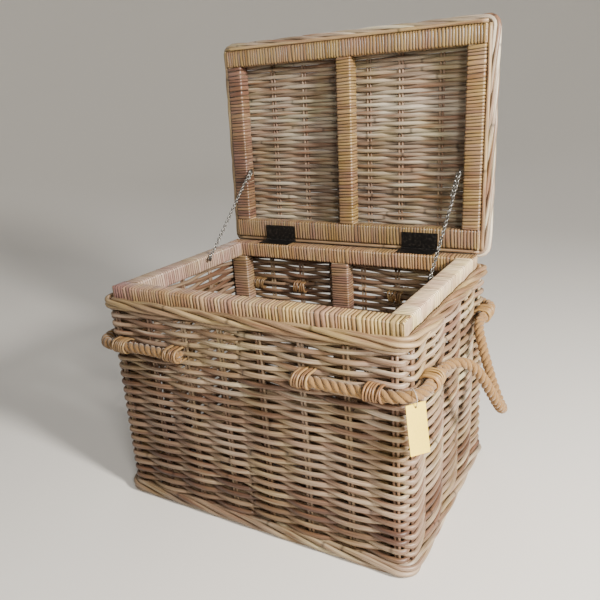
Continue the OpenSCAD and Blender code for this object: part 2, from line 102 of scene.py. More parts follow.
class Shell:
    """Gathers tubes and bands in millimetres, then makes one mesh piece of them.
    Each point keeps its place along its rod and round it, and a seed for its colour."""

    def __init__(self):
        self.v, self.f, self.rod, self.seed, self.count = [], [], [], [], 0

    def grid(self, points, rod, seed, closed=True, caps=(False, False)):
        """A sheet of four-sided faces over rows of points. A closed one joins each row's ends."""
        rows, cols = points.shape[:2]
        idx = self.count + np.arange(rows * cols).reshape(rows, cols)
        cur = idx if closed else idx[:, :-1]
        nxt = np.roll(idx, -1, axis=1) if closed else idx[:, 1:]
        self.f.append(np.stack([cur[:-1], nxt[:-1], nxt[1:], cur[1:]], -1).reshape(-1, 4))
        for on, ring, flip in ((caps[0], idx[0], True), (caps[1], idx[-1], False)):
            if on:
                i = np.arange(cols // 2 - 1)
                quads = np.stack([ring[i], ring[i + 1], ring[cols - 2 - i], ring[cols - 1 - i]], -1)
                self.f.append(quads[:, ::-1] if flip else quads)
        self.v.append(points.reshape(-1, 3))
        self.rod.append(np.broadcast_to(rod, (rows, cols, 3)).reshape(-1, 3))
        self.seed.append(np.broadcast_to(np.asarray(seed, float), (rows, cols)).reshape(-1))
        self.count += rows * cols

    def tube(self, path, radius, seed, sides=8, up=None, start=0, caps=(True, True), twist=0, ridges=0,
             flat=1.0):
        """A tube along a path. twist turns its ridges round it, and flat scales its height along up."""
        path = np.asarray(path, float)
        t = unit(np.gradient(path, axis=0))
        if up is not None:
            u = unit(np.cross(np.asarray(up, float), t))
        else:
            first = np.array([0.3, 0.2, 1.0])
            u = carry(first - t[0] * (first @ t[0]), t)
        w = np.cross(t, u)
        along = start + distances(path)
        a = 2 * np.pi * np.arange(sides) / sides
        turn = a[None] + twist * along[:, None]
        r = np.broadcast_to(np.asarray(radius, float), (len(path),))[:, None] * np.ones(sides)
        if ridges:
            r = r * (1 + 0.07 * np.cos(ridges * turn))
        ring = path[:, None] + r[..., None] * (np.cos(a)[None, :, None] * u[:, None]
                                               + flat * np.sin(a)[None, :, None] * w[:, None])
        rod = np.stack([np.repeat(along[:, None], sides, 1), np.cos(turn), np.sin(turn)], -1)
        self.grid(ring, rod, seed, caps=caps)

    def piece(self, name, material, body, node, place=None):
        """One mesh piece of it all, which rides on a body and replaces a CAD node."""
        verts = np.concatenate(self.v) * MM
        if place is not None:
            m = np.array(place)
            verts = verts @ m[:3, :3].T + m[:3, 3]
        faces = np.concatenate(self.f)
        mesh = bpy.data.meshes.new(name)
        mesh.vertices.add(len(verts))
        mesh.vertices.foreach_set("co", verts.ravel())
        mesh.loops.add(faces.size)
        mesh.loops.foreach_set("vertex_index", faces.ravel().astype(np.int32))
        mesh.polygons.add(len(faces))
        mesh.polygons.foreach_set("loop_start", np.arange(0, faces.size, 4, dtype=np.int32))
        mesh.update(calc_edges=True)
        rod = mesh.attributes.new("rod", "FLOAT_VECTOR", "POINT")
        rod.data.foreach_set("vector", (np.concatenate(self.rod) * [MM, 1, 1]).ravel())
        mesh.attributes.new("seed", "FLOAT", "POINT").data.foreach_set("value", np.concatenate(self.seed))
        mesh.shade_smooth()
        look, slot = MATERIALS[material]
        mesh.materials.append(look)
        obj = add(name, mesh)
        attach(obj, body)
        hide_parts(node)
        return obj


def smooth_path(points, step):
    """A Catmull-Rom line through the points, with places about step apart."""
    p = np.asarray(points, float)
    p = np.vstack([2 * p[0] - p[1], p, 2 * p[-1] - p[-2]])
    t = np.linspace(0, 1, 24, endpoint=False)[:, None]
    out = [0.5 * ((2 * p[i]) + (p[i + 1] - p[i - 1]) * t
                  + (2 * p[i - 1] - 5 * p[i] + 4 * p[i + 1] - p[i + 2]) * t ** 2
                  + (3 * p[i] - p[i - 1] - 3 * p[i + 1] + p[i + 2]) * t ** 3) for i in range(1, len(p) - 2)]
    return even(np.vstack(out + [p[-2:-1]]), step)


def even(path, step):
    """The same line with its places evenly spaced."""
    path = np.asarray(path, float)
    s = distances(path)
    places = np.linspace(0, s[-1], max(3, int(round(s[-1] / step)) + 1))
    return np.stack([np.interp(places, s, path[:, i]) for i in range(3)], -1)


def open_lid():
    """From the closed lid's place to its open place, in metres."""
    pivot = Matrix.Translation((0, PIN_Y * MM, PIN_Z * MM))
    return pivot @ Matrix.Rotation(math.radians(-LID_OPEN), 4, "X") @ pivot.inverted()


class Loop:
    """A rounded rectangle in plan, measured from the middle of the front towards +X."""

    def __init__(self, half_x, half_y, r, y=0):
        rows = [(0, -half_y, 0, -1)]
        for cx, cy, a0 in ((1, -1, -90), (1, 1, 0), (-1, 1, 90), (-1, -1, 180)):
            for a in np.radians(a0 + np.linspace(0, 90, 19)):
                rows.append((cx * (half_x - r) + r * np.cos(a), cy * (half_y - r) + r * np.sin(a),
                             np.cos(a), np.sin(a)))
        rows.append((0, -half_y, 0, -1))
        self.t = np.array(rows)
        self.s = np.r_[0, np.cumsum(np.hypot(*np.diff(self.t[:, :2], axis=0).T))]
        self.length, self.y = self.s[-1], y
        self.corners = [(self.s[1 + 19 * k] + self.s[19 + 19 * k]) / 2 for k in range(4)]

    def at(self, s, out):
        """Points at distance s, moved outwards by out, at height 0."""
        s = np.mod(s, self.length)
        x, y, nx, ny = (np.interp(s, self.s, self.t[:, i]) for i in range(4))
        n = np.hypot(nx, ny)
        return np.stack([x + out * nx / n, y + self.y + out * ny / n, 0 * x], -1)


def around(out, r):
    """A loop round the trunk, outside its rim frame by out, with corners of radius r."""
    return Loop(HALF_W + out, HALF_D + out, r)


def wander(s, size, wave):
    """A slow random wobble along a rod."""
    out = 0
    for _ in range(3):
        out = out + np.sin(2 * np.pi * s / (wave * rng.uniform(0.6, 1.7)) + rng.uniform(0, 6.3))
    return size * out / 3


# ---------- materials ----------

MATERIALS = {}   # each name's material and slot


class Nodes:
    """Builds one material's shader nodes, and files the material under its name."""

    def __init__(self, name, slot):
        self.mat = bpy.data.materials.new(name)
        self.mat.use_nodes = True
        self.tree = self.mat.node_tree
        self.bsdf = self.tree.nodes["Principled BSDF"]
        MATERIALS[name] = self.mat, slot

    def node(self, kind, **inputs):
        n = self.tree.nodes.new(kind)
        for name, value in inputs.items():
            self.put(n.inputs[name], value)
        return n

    def put(self, socket, value):
        if isinstance(value, bpy.types.NodeSocket):
            self.tree.links.new(value, socket)
        else:
            socket.default_value = value

    def attribute(self, name, output):
        n = self.node("ShaderNodeAttribute")
        n.attribute_name = name
        return n.outputs[output]

    def rod(self):
        """Each point's place along and round its rod, and the rod's seed."""
        return self.attribute("rod", "Vector"), self.attribute("seed", "Fac")

    def place(self):
        return self.node("ShaderNodeTexCoord").outputs["Object"]

    def axes(self, vector):
        return self.node("ShaderNodeSeparateXYZ", Vector=vector).outputs

    def math(self, op, a, b=0.0, c=0.0):
        n = self.node("ShaderNodeMath")
        n.operation = op
        for socket, value in zip(n.inputs, (a, b, c)):
            self.put(socket, value)
        return n.outputs[0]

    def scaled(self, vector, scale):
        return self.node("ShaderNodeMapping", Vector=vector, Scale=scale).outputs[0]

    def noise(self, vector, scale, detail=3, w=None, rough=0.55):
        n = self.node("ShaderNodeTexNoise", Vector=vector, Scale=scale, Detail=detail, Roughness=rough)
        if w is not None:
            n.noise_dimensions = "4D"
            self.put(n.inputs["W"], w)
        return n.outputs["Fac"]

    def ramp(self, value, *stops):
        """A stop is a position with a colour, or with one number for a grey."""
        n = self.node("ShaderNodeValToRGB")
        self.put(n.inputs[0], value)
        e = n.color_ramp.elements
        while len(e) < len(stops):
            e.new(0.5)
        for stop, (pos, color) in zip(e, stops):
            stop.position = pos
            stop.color = (*color, 1) if hasattr(color, "__len__") else (color, color, color, 1)
        return n.outputs[0]

    def mix(self, fac, a, b, blend="MIX"):
        n = self.node("ShaderNodeMix")
        n.data_type, n.blend_type = "RGBA", blend
        self.put(n.inputs["Factor"], fac)
        for i, value in ((6, a), (7, b)):
            self.put(n.inputs[i], (*value, 1) if isinstance(value, tuple) else value)
        return n.outputs[2]

    def times(self, a, b):
        return self.mix(1.0, a, b, "MULTIPLY")

    def bump(self, height, strength, distance, normal=None):
        n = self.node("ShaderNodeBump", Height=height, Strength=strength, Distance=distance)
        if normal is not None:
            self.put(n.inputs["Normal"], normal)
        return n.outputs[0]

    def end(self, color, rough, normal, metallic=0.0, specular=0.5):
        for name, value in (("Base Color", color), ("Roughness", rough), ("Normal", normal),
                            ("Metallic", metallic), ("Specular IOR Level", specular)):
            self.put(self.bsdf.inputs[name], value)


BLOTCH, GRIME = (0.20, 0.105, 0.055), (0.105, 0.05, 0.032)


def rattan(name, slot, stops, rings=True, dirt=0.5, painted_light_tints=None):
    """A weaving rod with bark: fine streaks along it, blotches, and dark joints now and then.
    The tint pair, when given, is painted shade over the low left of the trunk and painted light over its high
    right."""
    m = Nodes(name, slot)
    rod, seed = m.rod()
    place = m.place()
    w = m.math("MULTIPLY", seed, 57.0)
    streak = m.noise(m.scaled(rod, (14, 5, 5)), 1.0, 4, w)
    fine = m.noise(m.scaled(rod, (60, 16, 16)), 1.0, 2, w)
    blotch = m.noise(m.scaled(rod, (9, 0.6, 0.6)), 1.0, 3, w)
    patch = m.noise(place, 7.0, 3)
    base = m.ramp(seed, *stops)
    color = m.mix(m.ramp(blotch, (0.46, 0.0), (0.64, 0.9)), base, BLOTCH)
    color = m.mix(m.ramp(patch, (0.42, 0.0), (0.75, dirt)), color, GRIME)
    drift = m.ramp(m.noise(place, 11.0, 2), (0.36, (1.0, 0.955, 0.98)), (0.5, 1.0),
                   (0.64, (1.0, 1.01, 0.86)))
    color = m.times(color, drift)
    color = m.times(color, m.ramp(streak, (0.28, 0.42), (0.5, 0.95), (0.72, 1.45)))
    color = m.times(color, m.ramp(fine, (0.3, 0.86), (0.7, 1.08)))
    # painted shade towards the low left, painted light towards the high right
    if painted_light_tints:
        x, _, z = m.axes(place)
        toward_light = m.math("ADD", m.math("MULTIPLY_ADD", x, 1.0, 0.5), m.math("MULTIPLY_ADD", z, 0.8, -0.17))
        color = m.times(color, m.ramp(toward_light, (0.08, painted_light_tints[0]), (0.92, painted_light_tints[1])))
    if rings:
        along = m.axes(rod)[0]
        phase = m.math("FRACT", m.math("MULTIPLY_ADD", along, 1.7, m.math("MULTIPLY", seed, 23.0)))
        near = m.math("ABSOLUTE", m.math("SUBTRACT", phase, 0.5))
        ring = m.ramp(m.math("ADD", near, m.math("MULTIPLY", fine, 0.005)), (0.004, 0.42), (0.010, 1.0))
        color = m.times(color, ring)
    normal = m.bump(streak, 0.35, 0.0006, m.bump(fine, 0.3, 0.0003))
    m.end(color, m.ramp(fine, (0.3, 0.34), (0.7, 0.54)), normal)


def painted_shade_left(m, place, shade):
    """Painted shade: a tint that runs from shade at the -X end to white at the +X end."""
    return m.ramp(m.math("MULTIPLY_ADD", m.axes(place)[0], 1.25, 0.5), (0.10, shade), (0.62, 1.0))


PEEL_STAIN, PEEL_PATCH = (0.20, 0.12, 0.09), (0.27, 0.17, 0.14)


def peel(name, stops, left=None):
    """Flat strips of shiny rattan skin, with fine lines along each strip and painted shade in the grooves
    between strips. left paints shade over the -X end.
    """
    m = Nodes(name, "peel")
    rod, seed = m.rod()
    place = m.place()
    w = m.math("MULTIPLY", seed, 91.0)
    line = m.noise(m.scaled(rod, (22, 3.5, 1)), 1.0, 3, w)
    fine = m.noise(m.scaled(rod, (90, 9, 1)), 1.0, 2, w)
    blotch = m.noise(m.scaled(rod, (16, 0.4, 1)), 1.0, 3, w)
    patch = m.noise(place, 9.0, 3)
    color = m.mix(m.ramp(blotch, (0.50, 0.0), (0.72, 0.7)), m.ramp(seed, *stops), PEEL_STAIN)
    color = m.mix(m.ramp(patch, (0.45, 0.0), (0.72, 0.45)), color, PEEL_PATCH)
    drift = m.ramp(m.noise(place, 13.0, 2), (0.36, (1.0, 0.92, 1.0)), (0.5, 1.0),
                   (0.64, (1.0, 1.02, 0.82)))
    color = m.times(color, drift)
    color = m.times(color, m.ramp(line, (0.28, 0.66), (0.72, 1.25)))
    color = m.times(color, m.ramp(fine, (0.3, 0.9), (0.7, 1.06)))
    side = m.math("ABSOLUTE", m.axes(rod)[1])
    # painted shade in the grooves between strips, darkest at each strip's edges
    painted_groove_shade = m.ramp(m.math("MULTIPLY_ADD", line, 0.16, side), (0.66, 1.0), (0.98, 0.10))
    # painted shade over the -X end
    if left:
        color = m.times(color, painted_shade_left(m, place, left))
    color = m.times(color, painted_groove_shade)
    normal = m.bump(line, 0.35, 0.0004, m.bump(fine, 0.25, 0.0002))
    m.end(color, m.ramp(fine, (0.3, 0.26), (0.75, 0.44)), normal)


def rope_material(name, slot):
    """Coarse twisted fibre, dull and a little hairy."""
    m = Nodes(name, slot)
    rod, seed = m.rod()
    w = m.math("MULTIPLY", seed, 31.0)
    fibre = m.noise(m.scaled(rod, (35, 9, 9)), 1.0, 4, w, 0.7)
    hair = m.noise(m.scaled(rod, (160, 26, 26)), 1.0, 3, w, 0.7)
    color = m.ramp(fibre, (0.25, (0.085, 0.035, 0.012)), (0.48, (0.24, 0.13, 0.046)),
                   (0.75, (0.44, 0.27, 0.105)))
    color = m.times(color, m.ramp(hair, (0.3, 0.78), (0.7, 1.12)))
    place = m.place()
    # painted shade over the -X end of the rope
    color = m.times(color, painted_shade_left(m, place, (0.50, 0.48, 0.46)))
    normal = m.bump(fibre, 0.6, 0.0008, m.bump(hair, 0.6, 0.0004))
    m.end(color, 0.85, normal, specular=0.2)
    m.bsdf.inputs["Sheen Weight"].default_value = 0.25


def metal(name, slot, dark, light, rough, metallic):
    """Fine-grained metal, with lighter and rougher worn patches."""
    m = Nodes(name, slot)
    place = m.place()
    grain = m.noise(place, 900.0, 3)
    wear = m.noise(place, 160.0, 4)
    color = m.mix(m.ramp(wear, (0.50, 0.0), (0.72, 0.5)), dark, light)
    color = m.times(color, m.ramp(grain, (0.3, 0.85), (0.7, 1.1)))
    m.end(color, m.ramp(wear, (0.35, rough), (0.7, rough + 0.2)), m.bump(grain, 0.2, 0.0002), metallic)


def timber(name, slot):
    """Plain sawn wood with its grain."""
    m = Nodes(name, slot)
    place = m.place()
    grain = m.noise(m.scaled(place, (12, 60, 60)), 1.0, 5)
    color = m.ramp(grain, (0.3, (0.30, 0.20, 0.11)), (0.7, (0.52, 0.38, 0.24)))
    m.end(color, 0.7, m.bump(grain, 0.3, 0.0005))


def paper(name, slot):
    """Yellow card, slightly uneven, with fine fibres."""
    m = Nodes(name, slot)
    place = m.place()
    fibre = m.noise(place, 420.0, 4)
    cloud = m.noise(place, 28.0, 3)
    color = m.mix(m.ramp(cloud, (0.35, 0.0), (0.75, 0.5)), (1.0, 0.74, 0.10), (0.98, 0.69, 0.08))
    color = m.times(color, m.ramp(fibre, (0.3, 0.93), (0.7, 1.03)))
    m.end(color, 0.75, m.bump(fibre, 0.25, 0.0002), specular=0.3)


def tinted(stops, tint):
    """The same colour stops, each multiplied by the tint."""
    return [(at, tuple(c * k for c, k in zip(color, tint))) for at, color in stops]


def make_materials():
    weave = ((0.0, (0.102, 0.053, 0.032)), (0.14, (0.219, 0.138, 0.078)), (0.4, (0.358, 0.255, 0.15)),
             (0.7, (0.438, 0.334, 0.206)), (0.85, (0.292, 0.191, 0.125)), (1.0, (0.54, 0.455, 0.301)))
    lid = ((0.0, (0.172, 0.131, 0.096)), (0.3, (0.323, 0.253, 0.17)), (0.6, (0.377, 0.312, 0.233)),
           (0.85, (0.432, 0.384, 0.294)), (1.0, (0.212, 0.156, 0.108)))
    edge = ((0.0, (0.15, 0.095, 0.06)), (0.3, (0.32, 0.25, 0.17)), (0.65, (0.42, 0.35, 0.25)),
            (1.0, (0.60, 0.53, 0.40)))
    border = ((0.0, (0.286, 0.164, 0.073)), (0.35, (0.402, 0.268, 0.128)), (0.7, (0.517, 0.373, 0.192)),
              (1.0, (0.359, 0.236, 0.128)))
    dark = ((0.0, (0.117, 0.069, 0.045)), (0.5, (0.233, 0.154, 0.095)), (1.0, (0.33, 0.232, 0.15)))
    skin = ((0.0, (0.207, 0.101, 0.065)), (0.25, (0.497, 0.304, 0.125)), (0.5, (0.681, 0.486, 0.233)),
            (0.74, (0.413, 0.243, 0.143)), (1.0, (0.868, 0.708, 0.431)))
    ochre = ((0.0, (0.09, 0.044, 0.027)), (0.25, (0.209, 0.123, 0.044)), (0.5, (0.306, 0.202, 0.08)),
             (0.74, (0.18, 0.101, 0.05)), (1.0, (0.389, 0.289, 0.147)))
    mauve = ((0.0, (0.20, 0.11, 0.09)), (0.4, (0.40, 0.27, 0.19)), (0.75, (0.50, 0.37, 0.27)),
             (1.0, (0.60, 0.47, 0.34)))
    plum = ((0.0, (0.075, 0.033, 0.021)), (0.45, (0.145, 0.076, 0.043)), (0.75, (0.204, 0.121, 0.056)),
            (1.0, (0.257, 0.171, 0.082)))
    pale = ((0.0, (0.562, 0.388, 0.211)), (0.5, (0.821, 0.632, 0.387)), (1.0, (0.972, 0.816, 0.546)))
    tan = ((0.0, (0.244, 0.123, 0.043)), (0.5, (0.338, 0.194, 0.072)), (1.0, (0.42, 0.264, 0.111)))
    # the tint pairs on weave_rods and border_rods are painted shade at the low left and painted light at the
    # high right
    rattan("weave_rods", "rattan", weave, painted_light_tints=((0.40, 0.35, 0.34), (1.15, 1.17, 1.26)))
    rattan("lid_rods", "rattan", lid, dirt=0.35)
    rattan("edge_rods", "rattan", edge, dirt=0.45)
    rattan("border_rods", "rattan", border, dirt=0.35, painted_light_tints=(0.50, 0.92))
    rattan("dark_rods", "dark_rattan", dark)
    # front rail: painted shade over its -X end; back rail: a darker copy of the skin colours, painted shade
    # all over
    peel("front_peel", skin, left=(0.60, 0.53, 0.72))
    peel("back_peel", tinted(skin, (0.64, 0.57, 0.56)))
    # the posts' peel is a darker copy of the skin colours, painted shade
    peel("shaded_post_peel", tinted(skin, (0.44, 0.40, 0.40)))
    peel("ochre_peel", ochre)
    peel("plum_peel", plum)
    peel("mauve_peel", mauve)
    peel("pale_peel", pale)
    # painted shade at the low left, painted light at the high right
    rattan("lashing_cane", "peel", tan, rings=False, dirt=0.3,
           painted_light_tints=((0.25, 0.24, 0.23), (1.05, 1.05, 1.05)))
    rope_material("rope", "rope")
    metal("black_iron", "hinge_metal", (0.022, 0.020, 0.019), (0.11, 0.09, 0.075), 0.38, 0.85)
    metal("screw_steel", "screw_metal", (0.16, 0.15, 0.14), (0.42, 0.40, 0.37), 0.35, 1.0)
    metal("chain_steel", "chain_metal", (0.30, 0.29, 0.27), (0.66, 0.64, 0.60), 0.24, 1.0)
    timber("raw_wood", "timber")
    paper("tag_card", "tag_paper")
    rattan("twine", "string", ((0.0, (0.62, 0.54, 0.42)), (1.0, (0.74, 0.68, 0.56))), rings=False)


# ---------- ropes ----------

ROUTE = [(331, -129.7, 345), (331, -123, 345), (332.5, -113.5, 345.6), (336.7, -103.5, 346.6),
         (343.5, -94.5, 347.3), (352, -87, 346), (360.5, -79.5, 341.5), (369, -72.5, 333.5),
         (376.5, -66, 322), (383, -59.5, 308), (389, -52.5, 292.5), (394.5, -44.5, 276.5),
         (399, -35, 261), (402, -24, 247), (403.5, -11, 235.5), (403, 3, 227.5),
         (400, 16, 223.5), (395, 28, 223.5), (388.5, 38.5, 228), (381, 48, 237.5),
         (373, 57, 250), (365.5, 65, 265), (358, 72, 281), (351, 78.5, 297),
         (345, 84.5, 312), (339.8, 90.5, 324.5), (335.8, 97.5, 334), (333, 106, 340.2),
         (331.5, 115, 343.8), (331, 123, 344.9), (331, 129.7, 345)]


def lay_rope(shell, path, radius=ROPE_R, lay=35):
    """Three twisted strands round a line whose places are evenly spaced."""
    t = unit(np.gradient(path, axis=0))
    u = carry(np.cross([0.1, 0.2, 1.0], t[0]), t)
    w = np.cross(t, u)
    s = distances(path)
    strand = radius * 0.475
    for k in range(3):
        a = 2 * np.pi * (k / 3 + s / lay) + wander(s, 0.12, 90)
        off = (radius - strand) * (1 + wander(s, 0.04, 60))
        line = path + off[:, None] * (np.cos(a)[:, None] * u + np.sin(a)[:, None] * w)
        shell.tube(line, strand * (1 + wander(s, 0.05, 50)), rng.random(), 16, start=rng.uniform(0, 900),
                   twist=-0.22, ridges=5)


def make_handles():
    """The two free loops of rope."""
    for side, name in ((1, "right"), (-1, "left")):
        path = smooth_path(ROUTE, 2.4) * [side, 1, 1]
        shell = Shell()
        lay_rope(shell, path)
        rope = shell.piece(f"{name}_handle", "rope", f"{name}_handle", f"handle_{name}_rope")


def make_lashed_ropes():
    """The four runs of rope that bend round the corners. Each handle's feet meet their side ends."""
    r = ROPE_BEND
    arc = [(ROPE_X - r + r * math.cos(a), ROPE_Y - r + r * math.sin(a), ROPE_Z)
           for a in np.radians(np.linspace(90, 0, 19))]
    for sx, sy, name in ((-1, -1, "left_front"), (-1, 1, "left_back"), (1, -1, "right_front"),
                         (1, 1, "right_back")):
        line = [(118 if sy < 0 else 104, ROPE_Y, ROPE_Z), *arc, (ROPE_X, 130, ROPE_Z)]
        path = even(np.array(line) * [sx, sy, 1], 2.4)
        if sx * sy < 0:
            path = path[::-1]
        s = np.linspace(0, 1, len(path))
        path[:, 2] += 1.5 * np.sin(s * 7) * np.sin(s * np.pi)
        shell = Shell()
        lay_rope(shell, path, 10.3, 42)
        shell.piece(f"rope_{name}", "rope", "trunk", f"rope_{name}")


def lashing(shell, centre, along, out, width, turns, depth, r=2.1):
    """Turns of cane round the rope and through the wall behind it. Where depth is more than 30,
    they close round the inside of the wall too."""
    centre, along, out = (np.array(a, float) for a in (centre, along, out))
    up = np.array([0, 0, 1.0])
    a = np.radians(np.linspace(-90, 90, 13))
    for k in range(turns):
        shift = (k - (turns - 1) / 2) * width / turns
        lean = rng.uniform(-2.5, 2.5)
        big = 11.9 + rng.uniform(-0.4, 0.4)
        arc = np.stack([0 * a, big * np.cos(a), big * np.sin(a)], -1)
        line = np.vstack([[(0, -depth, -7)], [(0, -11, -big)], arc, [(0, -11, big)], [(0, -depth, 7)]])
        if depth > 30:
            back = np.radians(np.linspace(100, 260, 9))
            inside = np.stack([0 * back, -depth + 7 * np.cos(back), 11 * np.sin(back)], -1)
            line = np.vstack([arc, [(0, -12, big)], inside, [(0, -12, -big)], arc[:1]])
        line[:, 0] += shift + lean * line[:, 2] / 12
        world = centre + line[:, :1] * along + line[:, 1:2] * out + line[:, 2:] * up
        shell.tube(smooth_path(world, 3.0), r + rng.uniform(-0.3, 0.3), rng.random(),
                   start=rng.uniform(0, 500))


def make_lashings():
    """Bindings at the ends and corners of each lashed rope."""
    shell = Shell()
    # each binding's distance from the middle, its width and its depth
    front, back = ((136, 32, 38), (262, 32, 20)), ((122, 32, 38), (237, 28, 38))
    for sx in (-1, 1):
        for sy in (-1, 1):
            for x, w, depth in front if sy < 0 else back:
                lashing(shell, (sx * x, sy * ROPE_Y, ROPE_Z), (1, 0, 0), (0, sy, 0), w, 6, depth)
            lashing(shell, (sx * ROPE_X, sy * 166, ROPE_Z), (0, 1, 0), (sx, 0, 0), 40, 7, 20)
    shell.piece("lashings", "lashing_cane", "trunk", "rope_lashings")


# ---------- woven walls ----------

def stations():
    """Arc lengths of the stake pairs round the walls, on a loop through the stakes."""
    a, b = HALF_W + STAKE_OFF - WALL_R, HALF_D + STAKE_OFF - WALL_R
    q = WALL_R * math.pi / 2
    front = [FRONT_STEP * (k + 0.5) for k in range(4)]
    side = [SIDE_STEP * k for k in range(-2, 3)]
    half = front + [a + q + b + y for y in side] + [2 * a + 2 * q + 2 * b - x for x in reversed(front)]
    return half + [s + 2 * a + 2 * q + 2 * b for s in half]


def weave_offset(s, marks, length):
    """+1 in front of every second mark and -1 in front of the others, turning quickly between them."""
    marks = np.asarray(marks)
    k = np.searchsorted(marks, s, side="right") - 1
    low = np.where(k < 0, marks[-1] - length, marks[k])
    high = np.where(k == len(marks) - 1, marks[0] + length, marks[np.minimum(k + 1, len(marks) - 1)])
    u = np.clip(((s - low) / (high - low) - 0.06) / 0.88, 0, 1)
    return np.where(k % 2 == 0, 1.0, -1.0) * np.cos(np.pi * u)


def row_ends(inside, length):
    """Where one row's rods begin and end: behind stakes, each rod 0.7 to 1.3 m long."""
    begin = rng.integers(len(inside))
    ends, place = [inside[begin]], inside[begin]
    while True:
        place += rng.uniform(700, 1300)
        if place > ends[0] + length - 600:
            break
        ends.append(min((m + w for m in inside for w in (0, length)), key=lambda m: abs(m - place)))
    return [*ends, ends[0] + length]


def make_walls():
    """Rows of rods round all four walls, each wall a piece of its own. Rows rise and fall together,
    and the wobble eases to nothing where a row closes on itself."""
    loop = around(STAKE_OFF, WALL_R)
    marks = stations()
    knots = sorted(marks + loop.corners)
    grid = np.unique(np.concatenate([
        np.linspace(p, q, max(4, math.ceil((q - p) / (5 if q - p < 30 else 7.5))))
        for p, q in zip([0] + knots, knots + [loop.length])]))
    every = np.concatenate([grid + w * loop.length for w in (0, 1, 2)])
    cuts = loop.corners
    walls = {"front": Shell(), "right": Shell(), "back": Shell(), "left": Shell()}
    spans = {"front": (cuts[3] - loop.length, cuts[0]), "right": (cuts[0], cuts[1]),
             "back": (cuts[1], cuts[2]), "left": (cuts[2], cuts[3])}
    sway = wander(grid, 2.2, 330), wander(grid, 2.2, 280)
    ease = np.sin(np.pi * grid / loop.length) ** 0.25
    tail, past = 9, 2
    for j in range(WALL_ROWS):
        sign = 1 if j % 2 else -1
        z = BASE_H + 3.2 + j * (BORDER_Z - BASE_H - 6.4) / (WALL_ROWS - 1)
        thick = rng.uniform(3.95, 4.4)
        inside = [m for k, m in enumerate(marks) if (1 if k % 2 == 0 else -1) * sign < 0]
        ends = row_ends(inside, loop.length)
        lift = ease * (sway[0] * math.cos(j / 8) + sway[1] * math.sin(j / 8) + wander(grid, 0.75, 240))
        size = 1 + ease * wander(grid, 0.06, 300)
        for a, b in zip(ends, ends[1:]):
            seed, r = rng.random(), thick * rng.uniform(0.93, 1.05)
            for name, (lo, hi) in spans.items():
                for turn in (0, 1, 2):
                    p = max(a - tail, lo + turn * loop.length - past)
                    q = min(b + tail, hi + turn * loop.length + past)
                    if q - p < 5:
                        continue
                    s = np.r_[p, every[(every > p + 0.5) & (every < q - 0.5)], q]
                    m = np.mod(s, loop.length)
                    tuck = np.minimum(s - (a - tail), (b + tail) - s)
                    out = 6.0 * sign * weave_offset(m, marks, loop.length)
                    out = out - np.clip(1 - tuck / 14, 0, 1) * 3.0
                    line = loop.at(s, out)
                    line[:, 2] = z + np.interp(m, grid, lift)
                    walls[name].tube(line, r * np.interp(m, grid, size), seed, up=(0, 0, 1),
                                     start=s[0] + 1000 * seed, caps=(p == a - tail, q == b + tail), flat=1.12)
    for name, shell in walls.items():
        shell.piece(f"{name}_wall", "weave_rods", "trunk", f"{name}_weave")


def make_wall_stakes():
    """The pairs of stakes that the walls are woven round."""
    loop = around(STAKE_OFF, WALL_R)
    shell = Shell()
    for m in stations():
        for side in (-STAKE_GAP, STAKE_GAP):
            z = np.arange(BASE_H - 4, BORDER_Z + 10, 16.0)
            line = loop.at(np.full(len(z), m + side) + wander(z, 0.5, 150), wander(z, 0.3, 150))
            line[:, 2] = z
            shell.tube(line, 2.8 + wander(z, 0.15, 120), rng.random(), start=rng.uniform(0, 900))
    shell.piece("wall_stakes_visual", "weave_rods", "trunk", "wall_stakes")


def flat_weave(shell, y0, y1, pitch, marks, r, size, z, half_x=296, step=8, flat=1.0):
    """Rods along X, over and under pairs of stakes that run along Y."""
    rows = int(round((y1 - y0) / pitch)) + 1
    marks = np.array(marks, float)
    x = np.unique(np.concatenate([np.linspace(p, q, max(3, math.ceil((q - p) / step) + 1))
                                  for p, q in zip([-half_x, *marks], [*marks, half_x])]))
    for j in range(rows):
        y = y0 + j * (y1 - y0) / (rows - 1)
        sign = 1 if j % 2 else -1
        out = size * sign * weave_offset(x, marks, 2 * half_x)
        line = np.stack([x, y + wander(x, 0.6, 220), z + out], -1)
        shell.tube(line, r * rng.uniform(0.9, 1.1) * (1 + wander(x, 0.06, 200)), rng.random(),
                   up=(0, 0, 1), start=rng.uniform(0, 900), flat=flat)


def straight_stakes(shell, marks, y0, y1, z, r):
    """A pair of stakes along Y at each mark."""
    for x in marks:
        for side in (-STAKE_GAP, STAKE_GAP):
            y = np.arange(y0, y1 + 1, 16.0)
            line = np.stack([x + side + wander(y, 0.4, 150), y, z + 0 * y], -1)
            shell.tube(line, r + wander(y, 0.1, 120), rng.random(), start=rng.uniform(0, 900))


def twisted_border(shell, loop, z, amp_out, amp_z, r, count, turns, share):
    """Rods twisted round each other all the way round a loop. A rod ends on the inner side of the
    twist, at about the given share of the places where it passes there."""
    total = loop.length
    lay = total / turns
    for k in range(count):
        s = np.arange(0, total + 1, 7.0)
        s[-1] = total
        noise = wander(s, 0.30, 330) * np.sin(np.pi * s / total) ** 0.2
        a = 2 * np.pi * (k / count - s / lay) + noise
        fat = r * (1 + wander(s, 0.09, 210) * np.sin(np.pi * s / total) ** 0.2)
        line = loop.at(s + total / 2, amp_out * np.cos(a))   # the seam is at the back
        line[:, 2] = z + amp_z * np.sin(a)
        start = 0
        side = np.cos(a)
        inner = [i for i in range(3, len(s) - 3) if side[i] < -0.96
                 and side[i - 1] >= side[i] < side[i + 1] and rng.random() < share]
        for stop in [*inner, len(s) - 1]:
            if stop - start > 4:
                shell.tube(line[start:stop + 1], fat[start:stop + 1], rng.random(), up=(0, 0, 1),
                           start=rng.uniform(0, 900), caps=(False, False))
            start = stop


